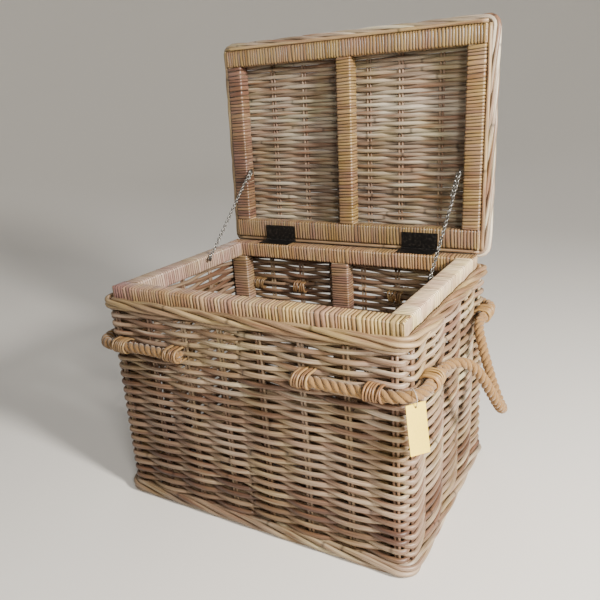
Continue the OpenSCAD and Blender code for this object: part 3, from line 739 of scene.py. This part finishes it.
def make_body_borders():
    """The borders along the top and round the foot of the walls."""
    top = Shell()
    twisted_border(top, around(12.3, 24), BORDER_Z + BORDER_H / 2, 6.6, 7.2, r=4.9, count=4, turns=6.6,
                   share=0.5)
    top.piece("top_border_rods", "border_rods", "trunk", "top_border")
    low = Shell()
    twisted_border(low, around(13.6, 25), 13.2, 5.4, 8.2, r=4.8, count=4, turns=6.8, share=0.5)
    twisted_border(low, around(5.5, 18), 12.6, 4.0, 8.0, r=4.2, count=4, turns=6.25, share=0.2)
    low.piece("bottom_border_rods", "weave_rods", "trunk", "bottom_border")


def make_base():
    """The woven floor of the trunk, on stakes in line with the front wall's."""
    shell = Shell()
    marks = [FRONT_STEP * (k + 0.5) for k in range(-4, 4)]
    flat_weave(shell, -204, 204, 9.0, marks, 3.6, 6.2, 13, half_x=294, step=14)
    straight_stakes(shell, marks, -206, 206, 13, 2.8)
    shell.piece("woven_base", "dark_rods", "trunk", "base_panel")


def make_lid():
    """The lid's woven panel and its stakes."""
    place = open_lid()
    stile = HALF_W - LID_STILE_W / 2
    marks = [-stile, -200, -118, -34, 42, 115, 203, stile]
    weave_z = LID_Z + RAIL_H + 8.5
    shell = Shell()
    flat_weave(shell, LID_FRONT + 5, HALF_D - 5, 8.1, marks, 4.55, 4.4, weave_z, flat=0.80)
    shell.piece("lid_weave", "lid_rods", "lid", "lid_panel", place=place)
    shell = Shell()
    straight_stakes(shell, marks[1:-1], LID_FRONT, HALF_D, weave_z, 2.5)
    shell.piece("lid_weave_stakes", "dark_rods", "lid", "lid_stakes", place=place)


def make_lid_border():
    """The twisted border round the lid frame."""
    shell = Shell()
    out = 10.2   # the border's middle, outside the lid frame
    loop = Loop(HALF_W + out, (HALF_D - LID_FRONT) / 2 + out, 15, y=(HALF_D + LID_FRONT) / 2)
    twisted_border(shell, loop, LID_Z + 27, 5.4, 10.6, r=4.3, count=5, turns=6.2, share=0.5)
    shell.piece("lid_border_rods", "edge_rods", "lid", "lid_border", place=open_lid())


def make_lid_edge_rods():
    """One straight pale rod along each edge of the lid frame."""
    shell = Shell()
    z = LID_Z + 7.5
    off = 4.5    # the rods' middles, outside the lid frame
    ends = [((-HALF_W, LID_FRONT - off), (HALF_W, LID_FRONT - off)),
            ((-HALF_W, HALF_D + off), (HALF_W, HALF_D + off)),
            ((-HALF_W - off, LID_FRONT), (-HALF_W - off, HALF_D)),
            ((HALF_W + off, LID_FRONT), (HALF_W + off, HALF_D))]
    for p, q in ends:
        t = np.linspace(0, 1, 46)[:, None]
        line = np.array(p) * (1 - t) + np.array(q) * t
        n = unit(np.array([q[1] - p[1], p[0] - q[0]], float))
        line = line + n * wander(t * 500, 0.25, 260)
        line = np.hstack([line, z + wander(t * 500, 0.5, 240)])
        shell.tube(line, 3.9 + wander(t[:, 0] * 500, 0.12, 200), 0.6 + 0.4 * rng.random(), 10)
    shell.piece("lid_rim_rods", "border_rods", "lid", "lid_edge_rods", place=open_lid())


# ---------- wound frames ----------

ACROSS = np.array([0, 0.16, 0.5, 0.84, 1.0])            # places across one band of peel
DROP = np.array([-1.25, -0.30, 0.0, -0.30, -1.25])      # how far each lies below the band's crown
BAND = 6.5                                              # a band's usual width


def section(w, h, r=5, steps=3):
    """Places, outward directions and running length round a bar's section, from the middle of its
    -v side."""
    rows = [(0, -h / 2, 0, -1)]
    for cu, cv, a0, mid in ((1, -1, -90, (w / 2, 0, 1, 0)), (1, 1, 0, (0, h / 2, 0, 1)),
                            (-1, 1, 90, (-w / 2, 0, -1, 0)), (-1, -1, 180, (0, -h / 2, 0, -1))):
        for a in np.radians(a0 + np.linspace(0, 90, steps + 1)):
            rows.append((cu * (w / 2 - r) + r * np.cos(a), cv * (h / 2 - r) + r * np.sin(a),
                         np.cos(a), np.sin(a)))
        rows.append(mid)
    t = np.array(rows)
    return t, np.r_[0, np.cumsum(np.hypot(*np.diff(t[:, :2], axis=0).T))]


def band_rod(run, start):
    """For a band's points: how far along it, from -1 to 1 across it, and nothing."""
    return np.stack([np.repeat(run[None] + start, 5, 0), np.repeat(ACROSS[:, None], len(run), 1) * 2 - 1,
                     np.zeros((5, len(run)))], -1)


def wind(shell, start, d, u, length, w, h):
    """Bands of peel wound round a bar that runs from start along d. The windings' ends face -v,
    with v = d x u."""
    start, d, u = (np.array(a, float) for a in (start, d, u))
    v = np.cross(d, u)
    t, run = section(w, h)
    places, s = [0.0], 0.0
    while s < length - 3:
        s += BAND * rng.uniform(0.76, 1.22) * (1.5 if rng.random() < 0.09 else 1)
        places.append(min(s, length))
    places[-1] = length
    tone = 0.5 + wander(np.array(places), 0.35, 160)
    for k, (a, b) in enumerate(zip(places, places[1:])):
        slope = (run / run[-1] - 0.5) * (b - a) * 0.8
        jog = rng.uniform(-0.25, 0.1)
        along = a + ACROSS[:, None] * (b - a) + slope[None] + 0.35 * np.sin(run / 11 + k)[None]
        along = np.clip(along, 0, length)
        off = DROP[:, None] + jog
        p = (start + along[..., None] * d + (t[:, 0] + off * t[:, 2])[..., None] * u
             + (t[:, 1] + off * t[:, 3])[..., None] * v)
        seed = np.clip(0.5 * tone[k] + 0.5 * rng.random(), 0.01, 0.99)
        shell.grid(p, band_rod(run, 40 * k), seed, closed=False)


def end_bands(shell, origin, across, up, out, w, h):
    """Short bands side by side over the cut end of a bar, each running along up."""
    origin, across, up, out = (np.array(a, float) for a in (origin, across, up, out))
    count = round(w / BAND)
    step = w / count
    r = 3.0
    arc = np.radians(np.linspace(0, 90, 4))
    prof = np.array([(-h / 2 + r - r * math.cos(x), -r + r * math.sin(x)) for x in arc]
                    + [(h / 2 - r + r * math.sin(x), -r + r * math.cos(x)) for x in arc])
    for k in range(count):
        jog = rng.uniform(-0.2, 0.1)
        pos = (k + ACROSS) * step - w / 2
        o = DROP + jog
        p = (origin + pos[:, None, None] * across + prof[None, :, :1] * up
             + (prof[None, :, 1:] + o[:, None, None]) * out)
        rod = band_rod(np.linspace(0, h, len(prof)), 50 * k)
        shell.grid(p[:, ::-1] if np.cross(across, up) @ out > 0 else p, rod, rng.random(), closed=False)


def long_rail(y, z, w, u):
    """A wound rail from side to side, with its two cut ends covered."""
    shell = Shell()
    wind(shell, (1 - HALF_W, y, z), (1, 0, 0), u, 2 * HALF_W - 2, w, RAIL_H)
    for sx in (-1, 1):
        end_bands(shell, (sx * HALF_W, y, z), (0, sx, 0), (0, 0, 1), (sx, 0, 0), w, RAIL_H)
    return shell


def make_rim_and_posts():
    """The rim's four rails and the six posts under them, each wound with peel."""
    z, reach = RIM_H - RAIL_H / 2, HALF_D - RAIL_W
    for sy, name in ((-1, "front"), (1, "back")):
        shell = long_rail(sy * (HALF_D - RAIL_W / 2), z, RAIL_W, (0, 1, 0))
        # painted shade: the front rail darker at its -X end, the back rail darker all over
        shell.piece(f"rim_{name}", f"{name}_peel", "trunk", f"rim_wrap_{name}")
    for sx, name in ((-1, "left"), (1, "right")):
        shell = Shell()
        wind(shell, (sx * (HALF_W - RAIL_W / 2), -reach, z), (0, 1, 0), (-1, 0, 0), 2 * reach, RAIL_W,
             RAIL_H)
        shell.piece(f"rim_{name}", "pale_peel" if sx > 0 else "mauve_peel", "trunk", f"rim_wrap_{name}")
    for ix, side in ((-1, "left"), (0, "middle"), (1, "right")):
        for iy, face in ((-1, "front"), (1, "back")):
            shell = Shell()
            wind(shell, (ix * POST_X, iy * POST_Y, BASE_H), (0, 0, 1), (-iy, 0, 0),
                 RIM_H - RAIL_H - BASE_H, POST_W, POST_D)
            # painted shade: the posts take a darker copy of the skin colours
            shell.piece(f"post_{face}_{side}", "shaded_post_peel", "trunk", f"post_wrap_{face}_{side}")


def make_lid_frame():
    """The lid's two rails and three stiles, each wound with peel."""
    place = open_lid()
    z = LID_Z + RAIL_H / 2
    for name, y, w in (("front", LID_FRONT + LID_RAIL_W / 2, LID_RAIL_W),
                       ("back", HALF_D - LID_BACK_W / 2, LID_BACK_W)):
        shell = long_rail(y, z, w, (0, -1, 0))
        shell.piece(f"lid_rail_{name}", "ochre_peel", "lid", f"lid_wrap_{name}", place=place)
    low, high, stile = LID_FRONT + LID_RAIL_W, HALF_D - LID_BACK_W, HALF_W - LID_STILE_W / 2
    for name, x, w in (("left", -stile, LID_STILE_W), ("middle", 0, LID_RAIL_W),
                       ("right", stile, LID_STILE_W)):
        shell = Shell()
        wind(shell, (x, low, z), (0, 1, 0), (1, 0, 0), high - low, w, RAIL_H)
        look = "plum_peel" if x < 0 else "ochre_peel"
        shell.piece(f"lid_stile_{name}", look, "lid", f"lid_wrap_{name}", place=place)


# ---------- chains ----------

def link(shell, centre, d, side, long=9.8, wide=7.6, wire=1.35):
    """One oval link, centred, with its length along d and its width along side."""
    r = (wide - 2 * wire) / 2
    half = (long - 2 * wire) / 2 - r
    a = np.radians(np.arange(0, 360, 22.5))
    x = np.where(np.cos(a) >= 0, half, -half) + r * np.cos(a)
    ring = centre + x[:, None] * d + (r * np.sin(a))[:, None] * side
    shape = np.vstack([ring, ring[:1]])
    shell.tube(shape, wire, 0.5, 6, up=np.cross(d, side), caps=(False, False))


def run_of_links(shell, start, d, first, count, pitch, turn):
    """Links from start along d, each turned by about a right angle from the last."""
    start, d = np.array(start, float), unit(np.array(d, float))
    a = np.array([1.0, 0, 0])
    b = np.cross(d, a)
    for k in range(count):
        angle = turn + (k % 2) * math.pi / 2 + rng.uniform(-0.12, 0.12)
        side = math.cos(angle) * a + math.sin(angle) * b
        link(shell, start + d * (first + k * pitch), d, side)


def make_chains():
    """Each chain is two pieces that meet in the middle, one on each screw. The end that is too long
    hangs beside the upper one."""
    angle = math.radians(-LID_OPEN)
    dy, dz = LID_EYE[0] - PIN_Y, LID_EYE[1] - PIN_Z
    eye = np.array([PIN_Y + dy * math.cos(angle) - dz * math.sin(angle),
                    PIN_Z + dy * math.sin(angle) + dz * math.cos(angle)])
    for side, name in ((1, "right"), (-1, "left")):
        low = np.array([side * CHAIN_X, *RIM_EYE])
        top = np.array([side * CHAIN_X, *eye])
        span = np.linalg.norm(top - low)
        d = (top - low) / span
        lower, upper, inset = 21, 20, 7   # links on each half, and how far the first is from an eye
        pitch = (span - 2 * inset) / (lower + upper - 1)
        shell = Shell()
        run_of_links(shell, low, d, inset, lower, pitch, 0.6)
        link(shell, low + d * 2.4, d, np.cross(d, [1, 0, 0]), 11, 8)
        shell.piece(f"{name}_chain_low", "chain_steel", f"{name}_chain_lower", f"chain_{name}_lower")
        shell = Shell()
        run_of_links(shell, low, d, inset + lower * pitch, upper, pitch, 0.6 + math.pi / 2)
        link(shell, top - d * 2.4, d, np.cross(d, [1, 0, 0]), 11, 8)
        tail = 10 if side > 0 else 4
        beside = np.array([-side * 5.0, -2.0, -3.0])
        run_of_links(shell, top + beside, -d, 3, tail, pitch, 0.2)
        shell.piece(f"{name}_chain_high", "chain_steel", f"{name}_chain_upper", f"chain_{name}_upper")


# ---------- tag ----------

TAG_W, TAG_H, TAG_HOLE = 32, 86, 6.5   # the last is from the card's top edge to its hole
TAG_OUT = math.sqrt(0.5) * np.array([1, -1, 0])
TAG_SIDE = math.sqrt(0.5) * np.array([1, 1, 0])
TAG_CORNER = np.array([ROPE_X - ROPE_BEND, ROPE_BEND - ROPE_Y, 0])   # the middle of the rope's bend


def curled(flat, thick):
    """Places on a card that leans and bends a little. Its hole is at x = 0, y = 0."""
    lean = math.radians(4.5)
    x = flat[..., 0] * math.cos(lean) - flat[..., 1] * math.sin(lean)
    y = flat[..., 1] * math.cos(lean) + flat[..., 0] * math.sin(lean)
    bend = 3.2 * (y / TAG_H) ** 2 + 0.9 * (2 * x / TAG_W) ** 2
    z = ROPE_Z - 5 - TAG_HOLE + y
    return (TAG_CORNER + (ROPE_BEND + 11.4) * TAG_OUT + x[..., None] * TAG_SIDE
            + (bend + thick)[..., None] * TAG_OUT + z[..., None] * np.array([0, 0, 1.0]))


def make_card():
    """The blank card: a square with the punched hole in it, the strips beside it and the rest."""
    w, h, hole, half_t, hole_r = TAG_W, TAG_H, TAG_HOLE, 0.4, 2.0
    shell = Shell()
    a = np.radians(np.arange(0, 360, 11.25))
    c, s = np.cos(a), np.sin(a)
    square = np.stack([c, s], -1) / np.maximum(abs(c), abs(s))[:, None]
    rings = [np.stack([c * hole_r, s * hole_r], -1)]
    for k in np.linspace(0.15, 1, 6):
        rings.append((1 - k) * np.stack([c, s], -1) * hole_r + k * square * hole)
    front, back = (curled(np.array(rings), t) for t in (half_t, -half_t))
    shell.grid(front[::-1], (0, 0, 0), 0.5)
    shell.grid(back, (0, 0, 0), 0.5)
    shell.grid(np.stack([back[0], front[0]]), (0, 0, 0), 0.5)
    y = np.concatenate([np.linspace(hole, -hole, 5), np.linspace(-hole - 4, hole - h, 18)])
    x = np.array([-w / 2, -12, -hole])
    parts = (np.stack(np.meshgrid(x, y[:5]), -1), np.stack(np.meshgrid(-x[::-1], y[:5]), -1),
             np.stack(np.meshgrid(np.linspace(-w / 2, w / 2, 9), y[4:]), -1))
    for t in (half_t, -half_t):
        for part in parts:
            points = curled(part, t)
            shell.grid(points if t < 0 else points[::-1], (0, 0, 0), 0.5, closed=False)
    edge = np.array([(-w / 2, hole), (w / 2, hole)] + [(w / 2, v) for v in y[1:]]
                    + [(-w / 2, v) for v in y[::-1]])
    shell.grid(np.stack([curled(edge, t) for t in (-half_t, half_t)]), (0, 0, 0), 0.5)
    shell.piece("blank_tag", "tag_card", "tag", "price_tag")


def make_twine():
    """Two twisted strands in a ring, round the rope and through the card's hole."""
    ring = np.radians(np.linspace(0, 360, 49))
    middle = TAG_CORNER + (ROPE_BEND + 3) * TAG_OUT + np.array([0, 0, ROPE_Z])
    line = middle + 14 * (np.cos(ring)[:, None] * TAG_OUT + np.sin(ring)[:, None] * np.array([0, 0, 1.0]))
    radial = unit(line - middle)
    shell = Shell()
    for k in range(2):
        turn = 30 * ring / 2 + k * math.pi
        path = line + 0.45 * (np.cos(turn)[:, None] * radial + np.sin(turn)[:, None] * TAG_SIDE)
        shell.tube(path, 0.5, 0.3 + 0.4 * k, 6, caps=(False, False))
    shell.piece("tag_twine", "twine", "tag", "tag_string")


# ---------- CAD nodes that stay ----------

def finish_cad_nodes():
    """New materials on the timber, the hinges and the screws, which keep their CAD shapes."""
    looks = {"raw_wood": ("base_frame", "post_cores", "rim_cores", "lid_cores"),
             "black_iron": ("rim_hinge_leaves", "lid_hinge_leaves", "hinge_pins", "rim_hinge_screws",
                            "lid_hinge_screws"),
             "screw_steel": ("rim_chain_screws", "lid_chain_screws")}
    for look, nodes in looks.items():
        for node in nodes:
            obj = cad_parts[node]
            obj.data.materials.clear()
            obj.data.materials.append(MATERIALS[look][0])


# ---------- light and floor ----------

def area(name, place, target, size, power, color):
    """A round light that shines from place towards target."""
    data = bpy.data.lights.new(name, "AREA")
    data.shape, data.size, data.energy, data.color = "DISK", size, power, color
    obj = add(name, data)
    obj.location = place
    obj.rotation_euler = (Vector(target) - Vector(place)).to_track_quat("-Z", "Y").to_euler()


def make_floor():
    """A round floor that curves up into a pale wall all round."""
    sides, flat_r, bend_r, wall_top = 96, 2.6, 3.0, 7.0
    turn = np.linspace(0, 2 * np.pi, sides, endpoint=False)
    bend = [(flat_r + bend_r * math.sin(a), bend_r - bend_r * math.cos(a))
            for a in np.radians(np.linspace(5, 85, 16))]
    rings = [*((r, 0.0) for r in (0.4, 1.0, 1.8, flat_r)), *bend, (5.75, 4.5), (5.8, wall_top)]
    verts = [(0, 0, 0)] + [(r * math.cos(a), r * math.sin(a), z) for r, z in rings for a in turn]
    faces = [(0, 1 + k, 1 + (k + 1) % sides) for k in range(sides)]
    for j in range(len(rings) - 1):
        low, high = 1 + sides * j, 1 + sides * (j + 1)
        faces += [(low + k, high + k, high + (k + 1) % sides, low + (k + 1) % sides) for k in range(sides)]
    mesh = bpy.data.meshes.new("floor")
    mesh.from_pydata(verts, [], faces)
    mesh.shade_smooth()
    paint = bpy.data.materials.new("floor_paint")
    paint.use_nodes = True
    bsdf = paint.node_tree.nodes["Principled BSDF"]
    bsdf.inputs["Base Color"].default_value = (0.74, 0.71, 0.66, 1)
    bsdf.inputs["Roughness"].default_value = 0.6
    mesh.materials.append(paint)
    add("floor", mesh)


def make_lights():
    """A dim sky, a strong soft light on the right and three weak ones."""
    world = bpy.data.worlds.new("World")
    world.use_nodes = True
    sky = world.node_tree.nodes["Background"]
    sky.inputs["Color"].default_value = (0.86, 0.90, 0.96, 1)
    sky.inputs["Strength"].default_value = 0.24
    bpy.context.scene.world = world
    area("window", (2.2, -0.65, 1.5), (0, 0, 0.35), 0.38, 176, (1.0, 0.96, 0.90))
    area("front_fill", (1.5, -1.55, 1.45), (0.2, 0, 0.35), 0.5, 35, (1.0, 0.97, 0.92))
    area("back_fill", (-1.4, 2.4, 1.8), (0, 0, 0.4), 1.6, 12, (0.95, 0.97, 1.0))
    area("left_fill", (-2.3, -0.9, 1.5), (0, 0, 0.4), 1.6, 4, (0.94, 0.97, 1.0))


make_camera()
make_materials()
make_handles()
make_lashed_ropes()
make_lashings()
make_walls()
make_wall_stakes()
make_body_borders()
make_base()
make_lid()
make_lid_border()
make_lid_edge_rods()
make_rim_and_posts()
make_lid_frame()
make_chains()
make_card()
make_twine()
finish_cad_nodes()
make_floor()
make_lights()
